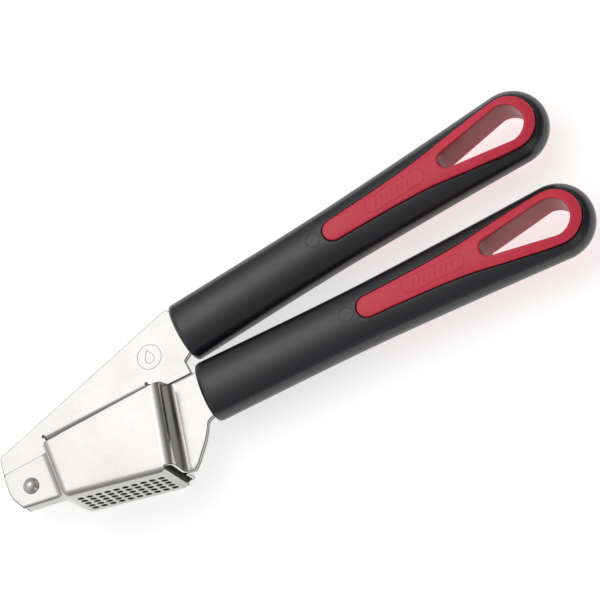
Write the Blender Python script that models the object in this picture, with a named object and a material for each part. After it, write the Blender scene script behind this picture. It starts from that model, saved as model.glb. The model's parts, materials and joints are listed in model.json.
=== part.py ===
"""Garlic press, lying on its side with the handles closed.

Working frame while the parts are made: the pivot is the origin, X runs along
the lower handle, Y goes from the lower handle to the upper one, Z is up (the
hinge axis).  At the end everything is moved so that the middle of the
bounding box's bottom is the origin.  Lengths below are in millimetres and are
turned into metres when a mesh is made.
"""
import bmesh
import bpy
import numpy as np
from math import asin, atan2, cos, degrees, pi, radians, sin, sqrt

MM = 0.001
GAP = 0.3                      # clearance between separate pieces
MERGE = 1e-7                   # points closer than this (metres) become one
THROUGH = 20.0                 # half height of a tool that cuts right through

# ---- folded steel sheet
SHEET = 1.2                    # sheet thickness
TANG = 2.4                     # two sheets pressed together
CHANNEL = 5.5                  # outside width of the pivot channel
TOP_Y, TOP_SLOPE = 7.75, 0.04  # straight top edge of the lower lever
CHANNEL_BOTTOM, CHANNEL_FALL = -6.5, -0.151
CHANNEL_FRONT, CHANNEL_REAR, CHANNEL_HEEL = 13.0, -7.4, -3.4
CHANNEL_REAR_EDGE = ((-7.0, -2.0), (-6.4, -4.0), (-5.2, -5.3))
SIEVE_X, SIEVE_Y, SIEVE_SLOPE = 15.1, -12.8, -0.209

# ---- hopper
HOPPER_HALF = 11.5             # half of its outside width
CORNER, CORNER_EASE = 3.4, 0.6  # upright corners, and how fast they tighten inwards
TIGHTEST_BEND = 0.8
NEAR_X = 9.4                   # end wall beside the pivot
FAR_TOP_X, FAR_BOTTOM_X = 54.3, 48.6
WEB_BEND = 2.2                 # radius where the walls turn into the sieve
WEB_END_X = 45.5               # the sieve sheet is cut straight here
MOUTH_LOW, MOUTH_HIGH, MOUTH_HALF = -30.0, -17.2, 9.4   # cut beyond the sheet's end
HOLES_ALONG, HOLES_ACROSS = 10, 5
HOLE_PITCH, HOLE_DIAMETER = 3.05, 1.9
DRILL_SIDES, DRILL_UP, DRILL_DOWN = 12, -2.2, 1.2

# ---- pivot
RIVET_SHANK, RIVET_HEAD, RIVET_DOME = 4.0, 5.6, 0.9
RIVET_RIM = 0.2                # upright edge of the head
RIVET_SIDES = 32
HEEL_RADIUS = 4.7              # rounded heel of the arm inside the channel

# ---- plunger, an arc about the pivot so that it enters the hopper freely
PLUNGER_NEAR_R, PLUNGER_FAR_R = 16.0, 48.6
PLUNGER_HALF = 9.9
PLUNGER_LIFT = 2.3             # its face above the outside of the sieve
SKIRT_Y, EAVES_Y, RIDGE_Y = 6.0, 9.6, 15.2
SKIRT_NEAR_X, SKIRT_LEAN, SKIRT_FAR_X = 15.1, 0.27, 48.1
TENON_NEAR_X, TENON_FAR_X, TENON_LOW = 15.0, 47.0, 2.0
TENON_TOP = EAVES_Y - 1.0
RIDGE_HALF, RIDGE_DEPTH, EAVES_DEPTH = 1.1, 1.5, 0.7   # skirt's fold, and its inside
ARC_POINTS = 9

# ---- flat outlines of the tang and the arm, handle tongues left out
TANG_LOWER = ((47.8, -16.3), (51.9, -16.8), (53.4, -16.4), (55.9, -14.6), (58.3, -11.85),
              (60.1, -8.5), (61.4, -6.2), (63.6, -5.4), (66.0, -4.6))
TANG_UPPER = ((64.5, 11.0), (53.6, 11.0), (53.4, 5.0))
ARM_LOWER = ((8.6, 3.0), (11.2, 9.0), (12.6, 14.0), (48.4, 14.0), (50.4, 11.6), (61.6, 11.35),
             (61.2, 15.8), (63.6, 17.9), (68.0, 18.4))
ARM_UPPER = ((66.0, 33.2), (61.5, 34.0), (59.75, 34.9), (-6.3, 14.4), (-7.4, 13.1),
             (-8.0, 8.2), (-4.9, 4.2), (-4.4, 1.8))

# ---- handles: (distance from the front end, half width)
GRIP = ((0.0, 9.0), (1.6, 10.2), (20, 10.05), (42, 9.95), (59, 10.1), (70, 10.4),
        (85, 10.9), (99, 11.4), (114, 12.1), (123, 12.6))
GRIP_END_R = 12.6
GRIP_HALF_THICK = 7.0
GRIP_POWER = 2.5               # squareness of the handle's cross-section
INLAY = ((59.3, 3.6), (71, 3.95), (82, 4.4), (94, 5.4), (104, 6.9), (112, 8.0),
         (118, 8.8), (123, 9.2))
LOOP = ((101.4, 3.0), (107, 3.9), (114, 5.0), (119, 5.8), (122.3, 6.3))
INLAY_PROUD = 0.35             # red face above the black one
GRIP_FRONT = ((-1.1, 4.0, 2.4), (-0.7, 7.6, 4.9), (0.2, 9.3, 6.1))   # place, half sizes
GRIP_STATIONS = (1.8, 10, 20, 31, 42, 52, 62, 72, 82, 92, 100, 108, 116, 123)
GRIP_END_SHARES = (0.25, 0.47, 0.66, 0.8, 0.9, 0.96, 0.99)
GRIP_END_POWER, GRIP_END_ROOT = 5, 0.45
TONGUE_START, TONGUE = 4.0, 48.0    # steel inside the handle
TONGUE_WIDE, TONGUE_NARROW = 6.5, 5.5
SLOT_START, SLOT_FLARE_LOW, SLOT_FLARE_HIGH = -3.0, 2.6, 2.2
LOWER_SLOT_CORNER = -9.2       # the lower handle's slot also clears the tang's hook
LOWER_AXIS_Y, LOWER_FRONT_X = 3.15, 64.0
UPPER_TILT, UPPER_OFFSET, UPPER_FRONT = radians(6.17), 18.3, 65.8

COLOURS = {
    "steel": ((0.78, 0.78, 0.77, 1), 1.0, 0.28),
    "rivet": ((0.70, 0.70, 0.70, 1), 1.0, 0.22),
    "black": ((0.022, 0.022, 0.026, 1), 0.0, 0.55),
    "red": ((0.62, 0.045, 0.085, 1), 0.0, 0.35),
}


def clear():
    for ob in list(bpy.data.objects):
        bpy.data.objects.remove(ob, do_unlink=True)


def material(name, kind):
    colour, metallic, rough = COLOURS[kind]
    mat = bpy.data.materials.new(name)
    mat.use_nodes = True
    bsdf = mat.node_tree.nodes["Principled BSDF"]
    bsdf.inputs["Base Color"].default_value = colour
    bsdf.inputs["Metallic"].default_value = metallic
    bsdf.inputs["Roughness"].default_value = rough
    return mat


def solid(name, verts, faces):
    """Object from points in millimetres, with its faces turned outwards."""
    mesh = bpy.data.meshes.new(name)
    mesh.from_pydata((np.asarray(verts, float) * MM).tolist(), [], faces)
    bm = bmesh.new()
    bm.from_mesh(mesh)
    bmesh.ops.remove_doubles(bm, verts=bm.verts, dist=MERGE)
    bmesh.ops.recalc_face_normals(bm, faces=bm.faces)
    bm.to_mesh(mesh)
    bm.free()
    ob = bpy.data.objects.new(name, mesh)
    bpy.context.scene.collection.objects.link(ob)
    return ob


def stack(name, rings):
    """Closed solid through rings of equal length, capped at both ends."""
    rings = [np.asarray(r, float) for r in rings]
    n = len(rings[0])
    faces = [tuple(range(n))[::-1], tuple(range((len(rings) - 1) * n, len(rings) * n))]
    for k in range(len(rings) - 1):
        for i in range(n):
            j = (i + 1) % n
            faces.append((k * n + i, k * n + j, (k + 1) * n + j, (k + 1) * n + i))
    return solid(name, np.concatenate(rings), faces)


def plate(name, outline, z0, z1):
    """Outline in the XY plane given thickness from z0 to z1."""
    pts = np.asarray(outline, float)
    return stack(name, [np.column_stack([pts, np.full(len(pts), z)]) for z in (z0, z1)])


def box(name, x0, x1, y0, y1, half):
    return plate(name, [(x0, y0), (x1, y0), (x1, y1), (x0, y1)], -half, half)


def circle(radius, n):
    a = np.arange(n) * 2 * pi / n
    return np.column_stack([radius * np.cos(a), radius * np.sin(a)])


def pin_hole():
    """Tool for the rivet's hole, long enough for every sheet."""
    return plate("pin", circle(RIVET_SHANK / 2 + GAP, RIVET_SIDES), -THROUGH, THROUGH)


def combine(target, tools, operation):
    """Boolean the tools into the target and keep only the result."""
    for tool in tools:
        mod = target.modifiers.new("combine", "BOOLEAN")
        mod.operation, mod.solver, mod.object = operation, "EXACT", tool
        bpy.context.view_layer.update()
        done = bpy.data.meshes.new_from_object(
            target.evaluated_get(bpy.context.evaluated_depsgraph_get()))
        target.modifiers.clear()
        target.data = done
        bpy.data.objects.remove(tool, do_unlink=True)
    return target


def arc(radius, a0, a1, n, at=(0.0, 0.0)):
    a = np.radians(np.linspace(a0, a1, n))
    return [(at[0] + radius * cos(v), at[1] + radius * sin(v)) for v in a]


def top_y(x):
    return TOP_Y + TOP_SLOPE * x


def sieve_y(x):
    return SIEVE_Y + SIEVE_SLOPE * (x - SIEVE_X)


def far_x(y):
    """Outside of the far end wall, leaning outwards towards the top."""
    f = (y - sieve_y(FAR_BOTTOM_X)) / (top_y(FAR_TOP_X) - sieve_y(FAR_BOTTOM_X))
    return FAR_BOTTOM_X + f * (FAR_TOP_X - FAR_BOTTOM_X)


def rounded_plan(x0, x1, half, r, n=6):
    """Rounded rectangle in the XZ plane, counted round from the far corner."""
    pts = []
    for cx, cz, a0 in ((x1 - r, half - r, 0), (x0 + r, half - r, 90),
                       (x0 + r, -half + r, 180), (x1 - r, -half + r, 270)):
        pts += arc(r, a0, a0 + 90, n, (cx, cz))
    return np.array(pts)


def hopper_block(name, inset, above):
    """Tub shape: rounded plan, rounded lower edge, inclined bottom."""
    rings = []
    r = max(WEB_BEND - inset, TIGHTEST_BEND)
    for a in np.linspace(0, 90, 6):
        side = inset + r * (1 - sin(radians(a)))
        up = inset + r * (1 - cos(radians(a)))
        plan = rounded_plan(NEAR_X + side, FAR_BOTTOM_X - side, HOPPER_HALF - side,
                            CORNER - side * CORNER_EASE)
        y = sieve_y(plan[:, 0]) + up
        rings.append(np.column_stack([plan[:, 0], y, plan[:, 1]]))
    plan = rounded_plan(NEAR_X + inset, FAR_TOP_X - inset, HOPPER_HALF - inset,
                        CORNER - inset * CORNER_EASE)
    rings.append(np.column_stack([plan[:, 0], top_y(plan[:, 0]), plan[:, 1]]))
    if above:
        lifted = rings[-1].copy()
        lifted[:, 1] += above
        rings.append(lifted)
    return stack(name, rings)


def channel_floor(x):
    return CHANNEL_BOTTOM + CHANNEL_FALL * x


def channel_outline():
    """Side view of the pivot channel."""
    return [(CHANNEL_HEEL, channel_floor(CHANNEL_HEEL)),
            (CHANNEL_FRONT, channel_floor(CHANNEL_FRONT)),
            (CHANNEL_FRONT, top_y(CHANNEL_FRONT)),
            (CHANNEL_REAR, top_y(CHANNEL_REAR))] + list(CHANNEL_REAR_EDGE)


def channel_slot():
    """Side view of the space inside the channel, open to the rear and upwards."""
    rear, high = CHANNEL_REAR - CHANNEL, top_y(0) + CHANNEL
    return [(rear, channel_floor(rear) + SHEET),
            (CHANNEL_FRONT, channel_floor(CHANNEL_FRONT) + SHEET),
            (CHANNEL_FRONT, high), (rear, high)]


def handle_place(which):
    """Axis start, direction and sideways direction of a handle."""
    tilt = 0.0 if which == "lower" else UPPER_TILT
    along = np.array([cos(tilt), sin(tilt)])
    side = np.array([-sin(tilt), cos(tilt)])
    if which == "lower":
        start = np.array([LOWER_FRONT_X, LOWER_AXIS_Y])
    else:
        start = along * UPPER_FRONT + side * UPPER_OFFSET
    return start, along, side


def put(which, s, w):
    start, along, side = handle_place(which)
    return (start + np.multiply.outer(np.asarray(s, float), along)
            + np.multiply.outer(np.asarray(w, float), side))


def tongue(which):
    """Corners of the steel tongue that runs into a handle, lower side first."""
    return [tuple(p) for p in put(which, (TONGUE_START, TONGUE, TONGUE, TONGUE_START),
                                  (-TONGUE_WIDE, -TONGUE_NARROW, TONGUE_NARROW, TONGUE_WIDE))]


def sieve_drills():
    """All the hole tools as one mesh of prisms square to the sieve."""
    slant = sqrt(1 + SIEVE_SLOPE ** 2)
    down = np.array([SIEVE_SLOPE, -1.0]) / slant
    along = np.array([-down[1], down[0]])
    a = 2 * pi * (np.arange(DRILL_SIDES) + 0.5) / DRILL_SIDES
    ring = np.arange(DRILL_SIDES)
    verts, faces = [], []
    for i in range(HOLES_ALONG):
        x = SIEVE_X + HOLE_PITCH / slant * i
        for j in range(HOLES_ACROSS):
            z = (j - (HOLES_ACROSS - 1) / 2) * HOLE_PITCH
            start = len(verts)
            for depth in (DRILL_UP, DRILL_DOWN):
                middle = np.array([x, sieve_y(x)]) + down * depth
                flat = middle + np.outer(HOLE_DIAMETER / 2 * np.cos(a), along)
                verts += np.column_stack([flat, z + HOLE_DIAMETER / 2 * np.sin(a)]).tolist()
            faces.append(tuple(start + ring))
            faces.append(tuple(start + DRILL_SIDES + ring[::-1]))
            for k in ring:
                q = (k + 1) % DRILL_SIDES
                faces.append((start + k, start + q, start + DRILL_SIDES + q,
                              start + DRILL_SIDES + k))
    return solid("drills", verts, [tuple(int(v) for v in f) for f in faces])


def hopper_lever():
    """Folded hopper, its channel for the arm's heel, and the tang for the handle."""
    body = hopper_block("hopper_lever", 0.0, 0.0)
    combine(body, [plate("channel", channel_outline(), -CHANNEL / 2, CHANNEL / 2)], "UNION")
    slot_half = CHANNEL / 2 - SHEET
    combine(body, [hopper_block("inside", SHEET, CHANNEL),
                   plate("slot", channel_slot(), -slot_half, slot_half),
                   box("mouth", WEB_END_X, FAR_TOP_X + CHANNEL, MOUTH_LOW, MOUTH_HIGH,
                       MOUTH_HALF)], "DIFFERENCE")
    tang = list(TANG_LOWER) + tongue("lower") + list(TANG_UPPER)
    combine(body, [plate("tang", tang, -TANG / 2, TANG / 2)], "UNION")
    return combine(body, [sieve_drills(), pin_hole()], "DIFFERENCE")


def pivot_rivet():
    """Shank with a domed head outside each wall of the channel."""
    half = CHANNEL / 2 + GAP
    shank, head = RIVET_SHANK / 2, RIVET_HEAD / 2
    profile = [(head * 0.35, half + RIVET_DOME), (head * 0.7, half + RIVET_DOME * 0.82),
               (head * 0.93, half + RIVET_DOME * 0.5), (head, half + RIVET_RIM),
               (head, half), (shank, half)]
    profile += [(r, -z) for r, z in reversed(profile)]
    rings = [np.column_stack([circle(r, RIVET_SIDES), np.full(RIVET_SIDES, z)])
             for r, z in profile]
    return stack("pivot_rivet", rings)


def press_arm():
    """Flat double sheet with the flared skirt that holds the plunger."""
    outline = (arc(HEEL_RADIUS, -150, -20, 10) + list(ARM_LOWER) + tongue("upper")
               + list(ARM_UPPER))
    body = plate("press_arm", outline, -TANG / 2, TANG / 2)
    half, thin = PLUNGER_HALF, PLUNGER_HALF - SHEET
    outside = [(half, SKIRT_Y), (half, EAVES_Y), (RIDGE_HALF, RIDGE_Y)]
    inside = [(RIDGE_HALF - 0.2, RIDGE_Y - RIDGE_DEPTH), (thin, EAVES_Y - EAVES_DEPTH),
              (thin, SKIRT_Y)]
    ring = outside + [(-z, y) for z, y in reversed(outside)]
    ring += [(-z, y) for z, y in reversed(inside)] + inside
    near_ring = [(SKIRT_NEAR_X - SKIRT_LEAN * (y - SKIRT_Y), y, z) for z, y in ring]
    far_ring = [(SKIRT_FAR_X, y, z) for z, y in ring]
    combine(body, [stack("skirt", [near_ring, far_ring])], "UNION")
    return combine(body, [pin_hole()], "DIFFERENCE")


def plunger_low(x):
    return sieve_y(x) + PLUNGER_LIFT


def meet_face(radius):
    """Place along the plunger's lower face that lies this far from the pivot."""
    a, b = SIEVE_SLOPE, plunger_low(0)
    return (-a * b + sqrt(radius ** 2 * (1 + a * a) - b * b)) / (1 + a * a)


def plunger():
    """Block under the skirt; its ends are arcs about the pivot."""
    top = SKIRT_Y - GAP
    near, far = meet_face(PLUNGER_NEAR_R), meet_face(PLUNGER_FAR_R)
    outline = arc(PLUNGER_NEAR_R, degrees(asin(top / PLUNGER_NEAR_R)),
                  degrees(atan2(plunger_low(near), near)), ARC_POINTS)
    outline += arc(PLUNGER_FAR_R, degrees(atan2(plunger_low(far), far)),
                   degrees(asin(top / PLUNGER_FAR_R)), ARC_POINTS)
    body = plate("plunger", outline, -PLUNGER_HALF, PLUNGER_HALF)
    tenon = box("tenon", TENON_NEAR_X, TENON_FAR_X, TENON_LOW, TENON_TOP,
                PLUNGER_HALF - SHEET - GAP)
    return combine(body, [tenon], "UNION")


def half_width(table, s):
    return np.interp(s, [t[0] for t in table], [t[1] for t in table])


def drop(which, table, grow, n=14):
    """Teardrop outline along a handle, rounded at both ends."""
    s0, r0 = table[0][0], table[0][1] + grow
    s1, r1 = table[-1][0], table[-1][1] + grow
    s = np.linspace(s0, s1, n)[1:-1]
    w = half_width(table, s) + grow
    pts = list(zip(s, -w))
    pts += arc(r1, -90, 90, 15, (s1, 0.0))
    pts += list(zip(s[::-1], w[::-1]))
    pts += arc(r0, 90, 270, 11, (s0, 0.0))
    pts = np.array(pts)
    return put(which, pts[:, 0], pts[:, 1])


def handle_loft(name, which, proud=0.0, n=40):
    """Super-ellipse sections along a handle, closed at both ends."""
    sections = list(GRIP_FRONT)
    sections += [(s, half_width(GRIP, s), GRIP_HALF_THICK) for s in GRIP_STATIONS]
    for u in GRIP_END_SHARES:
        sections.append((GRIP[-1][0] + GRIP_END_R * u, GRIP_END_R * sqrt(1 - u * u),
                         GRIP_HALF_THICK * (1 - u ** GRIP_END_POWER) ** GRIP_END_ROOT))
    a = (np.arange(n) + 0.5) * 2 * pi / n
    power = 2 / GRIP_POWER
    cw = np.sign(np.cos(a)) * np.abs(np.cos(a)) ** power
    cz = np.sign(np.sin(a)) * np.abs(np.sin(a)) ** power
    rings = []
    for s, w, h in sections:
        flat = put(which, np.full(n, s), w * cw)
        rings.append(np.column_stack([flat, (h + proud) * cz]))
    return stack(name, rings)


def grip(which):
    """Black handle with the drop-shaped window and the slot for the steel tongue."""
    body = handle_loft(which + "_grip", which)
    window = plate("window", drop(which, INLAY, GAP), -THROUGH, THROUGH)
    wide, narrow = TONGUE_WIDE + GAP, TONGUE_NARROW + GAP
    low = LOWER_SLOT_CORNER if which == "lower" else -(wide + SLOT_FLARE_LOW)
    slot = put(which, (SLOT_START, TONGUE + GAP, TONGUE + GAP, SLOT_START),
               (low, -narrow, narrow, wide + SLOT_FLARE_HIGH))
    half = TANG / 2 + GAP
    return combine(body, [window, plate("tongue_slot", slot, -half, half)], "DIFFERENCE")


def core(which):
    """Red drop standing a little proud of the handle, with the hanging loop's hole."""
    body = plate(which + "_core", drop(which, INLAY, 0.0), -THROUGH, THROUGH)
    combine(body, [handle_loft("limit", which, INLAY_PROUD)], "INTERSECT")
    loop = plate("loop", drop(which, LOOP, 0.0), -THROUGH, THROUGH)
    return combine(body, [loop], "DIFFERENCE")


def main():
    clear()
    parts = [(hopper_lever(), "steel"), (pivot_rivet(), "rivet"), (core("lower"), "red"),
             (grip("lower"), "black"), (press_arm(), "steel"), (plunger(), "steel"),
             (core("upper"), "red"), (grip("upper"), "black")]
    pts = np.concatenate([[tuple(v.co) for v in ob.data.vertices] for ob, _ in parts])
    low, high = pts.min(axis=0), pts.max(axis=0)
    pivot = np.array([-(low[0] + high[0]) / 2, -(low[1] + high[1]) / 2, -low[2]])
    for ob, kind in parts:
        ob.data.materials.clear()
        ob.data.materials.append(material(ob.name + "_material", kind))
        ob.location = pivot


main()
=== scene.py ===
"""Garlic press: sheet-steel hopper and arm, black handles with red drop-shaped inlays.

Shapes are worked out in press millimetres: the pivot is the origin, X runs
along the lower handle, Y points to the upper handle and Z is the hinge axis.
"""
import json
from math import cos, pi, radians, sin, sqrt

import bmesh
import bpy
import numpy as np
from mathutils import Matrix, Vector


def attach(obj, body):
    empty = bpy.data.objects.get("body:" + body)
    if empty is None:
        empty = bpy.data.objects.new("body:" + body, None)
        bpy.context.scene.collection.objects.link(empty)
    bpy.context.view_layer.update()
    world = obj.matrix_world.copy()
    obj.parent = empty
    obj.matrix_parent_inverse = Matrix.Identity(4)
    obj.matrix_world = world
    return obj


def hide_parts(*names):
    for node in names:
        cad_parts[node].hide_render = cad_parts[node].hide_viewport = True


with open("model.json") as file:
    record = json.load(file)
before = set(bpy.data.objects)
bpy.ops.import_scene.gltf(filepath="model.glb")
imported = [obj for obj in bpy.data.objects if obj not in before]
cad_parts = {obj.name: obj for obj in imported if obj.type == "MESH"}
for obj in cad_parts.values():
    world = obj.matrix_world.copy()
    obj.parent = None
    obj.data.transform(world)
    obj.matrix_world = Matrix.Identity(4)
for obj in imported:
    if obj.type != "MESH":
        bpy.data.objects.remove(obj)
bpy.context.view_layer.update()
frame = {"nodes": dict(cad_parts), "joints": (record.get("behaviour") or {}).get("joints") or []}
PIVOT = np.array(frame["joints"][0]["pos_m"], float)
MM = 0.001
MERGE = 2e-6                        # points closer than this (metres) become one
SHARP, CUT_EDGE = radians(38), radians(80)
LOWER, ARM = "lower_lever", "arm"
BODY_OF = {"lower": LOWER, "upper": ARM}
UPWARD, DOWNWARD = (0, 0, 1), (0, 0, -1)
MIRROR = np.array([1, 1, -1])       # the back is the front's mirror image

# folded sheet
SHEET = 1.16                        # a hair thinner than the solid, to stay inside it
EASE_LEVER, EASE_ARM, EASE_STEPS = 0.2, 0.22, 2      # eased width of the cut edges
CHANNEL_HALF = 2.75
HOPPER_HALF = 11.3
CROWN, CROWN_POWER = 0.2, 0.8       # the side walls bulge this much, and how squarely
TANG_HALF = 1.2
NEAR_BEND = (79, 2.7, 2.7)          # turn and the two radii of the bend beside the pivot
FAR_BEND = (87, 3.0, 1.2)           # the same beside the handle
TOP_Y, TOP_SLOPE = 7.75, 0.04
CHANNEL_Y, CHANNEL_SLOPE = -6.85, -0.14
SIEVE_X, SIEVE_Y, SIEVE_SLOPE = 15.1, -12.8, -0.209
FOLD_RADIUS, CHANNEL_FOLD = 2.2, 1.25
NEAR_TOP, NEAR_LOW = 12.7, 13.1     # where the pivot-side end wall meets the side wall
FAR_TOP, FAR_LOW = 50.4, 45.5       # the same at the handle side
FLOOR_LIP = 1.1                     # the sieve's far edge turns up this much
REAR_TOP_X, REAR_LOW_X, REAR_TUCK = -7.7, -5.3, 1.2
REAR_EDGE_X, REAR_ROUND, REAR_STRAIGHT = -7.75, 2.45, 0.45
TANG_X = (50.1, 51.7, 53.4, 55.6, 58.0, 59.9, 61.2, 63.6, 68.0)
TANG_Y = (-18.3, -18.8, -17.6, -14.9, -11.9, -8.8, -6.3, -5.2, -4.8)
TANG_TOP, TANG_END = 11.0, 68.0
BEND_MIDDLE, BEND_ACROSS = np.array([50.2, -3.3, 0.0]), (0.983, -0.184, 0.0)
PAINTED_BEND_LIGHT = (1.32, 1.0, 0.0022, 0.0036)     # painted light: raised tone at the bend, tone away from it, and distances

# sieve
HOLES_ALONG, HOLES_ACROSS, HOLE_RADIUS, PITCH = 10, 5, 1.0, 3.05
CELL = 6                            # grid squares along one hole's share of the sheet
RIM_REACH = 0.55                    # share of the pitch that counts as a hole's rim

# grid points in each stretch of the lever's sheet, and squares where the name says so
BEND_POINTS, TANG_POINTS, WALL_POINTS, FOLD_POINTS = 25, 40, 22, 8
BACK_SQUARES, FLOOR_END_SQUARES = 15, 5
MARGIN_ROWS = 2                     # rows of points between a fold and the holes

# arm
HEEL_RADIUS = 4.7
SKIRT_HALF, SKIRT_LOW, SKIRT_DROP = 9.0, 6.2, 1.0
SKIRT_BEND = (62, 2.2, 1.2)
FOLD_NEAR, FOLD_FAR = (8.9, 14.55), (46.4, 15.2)     # ends of the fold in the flat plate
CREST_NEAR, CREST_FAR = 11.4, 49.0                   # ends of the skirt
SLIT_END = 0.42                     # radius of the round cut at each end of the fold
SKIRT_ACROSS, SKIRT_ALONG, SKIRT_DOWN = 30, 70, 6    # grid points over, along and squares down
BADGE, BADGE_RADIUS, BADGE_WIRE, BADGE_LIFT = (50.7, 22.8), 4.1, 0.09, 0.01
DROP_WIDE, DROP_LONG, DROP_POINT, DROP_LIFT = 2.2, 2.3, 1.4, 0.2

# rivet
RIVET_HEAD, RIVET_SHANK, RIVET_STAND, RIVET_RIM = 2.7, 2.0, 0.05, 0.15
RIVET_EDGE, RIVET_DOME = 0.1, radians(57)
RIVET_RINGS, RIVET_SIDES = 14, 48

# handles
GRIP = ((0, 10.2), (20, 10.05), (42, 9.95), (59, 10.1), (70, 10.4), (85, 10.9),
        (99, 11.4), (114, 12.05), (123, 12.45))
INLAY = ((59.3, 3.6), (71, 3.95), (82, 4.4), (94, 5.4), (104, 6.9), (112, 8.0),
         (118, 8.8), (123, 9.2))
LOOP = ((101.4, 3.0), (107, 3.9), (114, 5.0), (119, 5.8), (122.3, 6.3))
HALF_THICK, SECTION_POWER = 7.0, 2.25
FRONT_START, FRONT_RUN, FRONT_POWER = 2.0, 3.0, 4.0
FRONT_SHARE = 0.62                  # share of the front stretch spent on the blunt end
WINDOW_GAP, LIP = 0.12, 0.4
INLAY_PROUD, INLAY_FIT, INLAY_EDGE, LOOP_EDGE = 0.3, 0.05, 0.5, 0.6
LOOP_WALL = 0.8                     # first row of the loop's wall, as a share of its depth
GRIP_POINTS, INLAY_POINTS = (71, 90, 40), (30, 80, 40)   # round the tip, a side, the end
GRIP_ROWS, LIP_ROWS, INLAY_ROWS, EDGE_ROWS, LOOP_ROWS = 44, 6, 26, 7, 5
LOWER_AXIS_Y, LOWER_FRONT = 3.15, 64.0
UPPER_TILT, UPPER_OFFSET, UPPER_FRONT = radians(6.17), 18.3, 65.8

# moulded marks on the handles
RING_AT, RING_RADIUS, RING_WIRE = (52.1, 0.5), 2.35, 0.1
PANEL_START, PANEL_END, PANEL_HALF, PANEL_WIRE = 71.4, 92.9, 2.5, 0.13
RIBS, RIB_FIRST, RIB_LAST, RIB_LEAN = 8, 75.5, 88.8, radians(62)
RIB_LONG, RIB_HALF, RIB_WIRE = 1.35, 0.22, 0.1
RING_SUNK, PANEL_SUNK, RIB_SUNK = 0.03, 0.05, 0.04
WIRE_SIDES = 8

# studio
SKY_LOW = 0.13
SKY_LOBES = (((-0.18, 0.43, 0.885), 26.0, 1.15), ((-0.18, 0.40, 0.90), 2.6, 0.68),
             ((-0.95, -0.10, 0.25), 2.0, 0.38),
             ((0.25, -0.93, 0.20), 3.0, 0.22))      # direction, narrowness, strength
LAMPS = (("back_fill", (0.10, 0.90, 0.42), 1.8, (0.9, 0.5), 0.12),
         ("front_fill", (0.45, -0.75, 0.50), 1.6, (0.8, 0.8), 0.9))
FLOOR_HALF, FLOOR_GLOW = 4.0, 0.66
CAMERA_LENS, CAMERA_SENSOR = 179.4, 36.0
CAMERA_ANGLES = (-65.80, 64.47, -48.28)             # azimuth, elevation, roll
CAMERA_AIM, CAMERA_AWAY = (102.9, 17.93, 0.0), 944.3


# ---------------------------------------------------------------- mesh helpers

def quads(nu, nv, wrap_u=False, wrap_v=False):
    """Corner numbers of every square of an nu by nv grid, as an array (rows, columns, 4)."""
    u = np.arange(nu if wrap_u else nu - 1)
    v = np.arange(nv if wrap_v else nv - 1)
    u0, v0 = np.meshgrid(u, v, indexing="ij")
    u1, v1 = (u0 + 1) % nu, (v0 + 1) % nv
    return np.stack([u0 * nv + v0, u1 * nv + v0, u1 * nv + v1, u0 * nv + v1], axis=-1)


def make(name, points, faces, body, finish, up=None):
    """Mesh object from press millimetres; doubles are merged and faces point outwards.

    Only an open sheet gives `up`: its faces are turned round if the one nearest the
    top does not look that way.
    """
    mesh = bpy.data.meshes.new(name)
    world = np.asarray(points, float).reshape(-1, 3) * MM + PIVOT
    mesh.from_pydata(world.tolist(), [], [tuple(f) for f in faces])
    bm = bmesh.new()
    bm.from_mesh(mesh)
    bmesh.ops.remove_doubles(bm, verts=bm.verts, dist=MERGE)
    bmesh.ops.recalc_face_normals(bm, faces=bm.faces)
    if up:
        top = max(bm.faces, key=lambda f: f.calc_center_median().z)
        if top.normal.dot(Vector(up)) < 0:
            bmesh.ops.reverse_faces(bm, faces=bm.faces)
    bm.to_mesh(mesh)
    bm.free()
    mesh.shade_smooth()
    mesh.set_sharp_from_angle(angle=SHARP)
    ob = bpy.data.objects.new(name, mesh)
    bpy.context.scene.collection.objects.link(ob)
    mesh.materials.append(finish)
    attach(ob, body)
    return ob


def thicken(ob, edge, rim_slot):
    """Sheet thickness on the inner side, then eased cut edges in the rim's slot, whose dark tone is
    partly duller cut steel and partly painted shade.
    """
    wall = ob.modifiers.new("sheet", "SOLIDIFY")
    wall.thickness = SHEET * MM
    wall.offset = -1
    ease = ob.modifiers.new("eased_edges", "BEVEL")
    ease.width = edge * MM
    ease.segments = EASE_STEPS
    ease.material = rim_slot
    ease.use_clamp_overlap = False
    ease.limit_method = "ANGLE"
    ease.angle_limit = CUT_EDGE
    flat = ob.modifiers.new("flat_faces", "WEIGHTED_NORMAL")
    flat.keep_sharp = True


def smooth(t):
    """Ease from 0 to 1: three times the square less twice the cube."""
    t = np.clip(t, 0, 1)
    return t * t * (3 - 2 * t)


def curve_through(table, at):
    """Smooth curve through a short table: piecewise cubics with averaged slopes."""
    x, y = np.array(table, float).T
    slope = np.gradient(y, x)
    k = np.clip(np.searchsorted(x, at) - 1, 0, len(x) - 2)
    h = x[k + 1] - x[k]
    t = np.clip((at - x[k]) / h, 0, 1)
    return ((1 + 2 * t) * (1 - t) ** 2 * y[k] + t * (1 - t) ** 2 * h * slope[k]
            + t * t * (3 - 2 * t) * y[k + 1] + t * t * (t - 1) * h * slope[k + 1])


def s_bend(drop, turn, first, last, n):
    """Sheet that turns down through an arc, runs straight and turns back level.

    Returns the run and the drop at evenly spaced points along it.
    """
    turn = radians(turn)
    straight = (drop - (first + last) * (1 - cos(turn))) / sin(turn)
    lengths = np.cumsum([first * turn, straight, last * turn])
    s = np.linspace(0, lengths[-1], n)
    a = np.clip(s / first, 0, turn)
    run, fall = first * np.sin(a), first * (1 - np.cos(a))
    mid = np.clip(s - lengths[0], 0, straight)
    run, fall = run + mid * cos(turn), fall + mid * sin(turn)
    b = np.clip((s - lengths[1]) / last, 0, turn)
    run = run + last * (sin(turn) - np.sin(turn - b))
    fall = fall + last * (np.cos(turn - b) - cos(turn))
    return run, fall


# ---------------------------------------------------------------- materials

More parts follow.
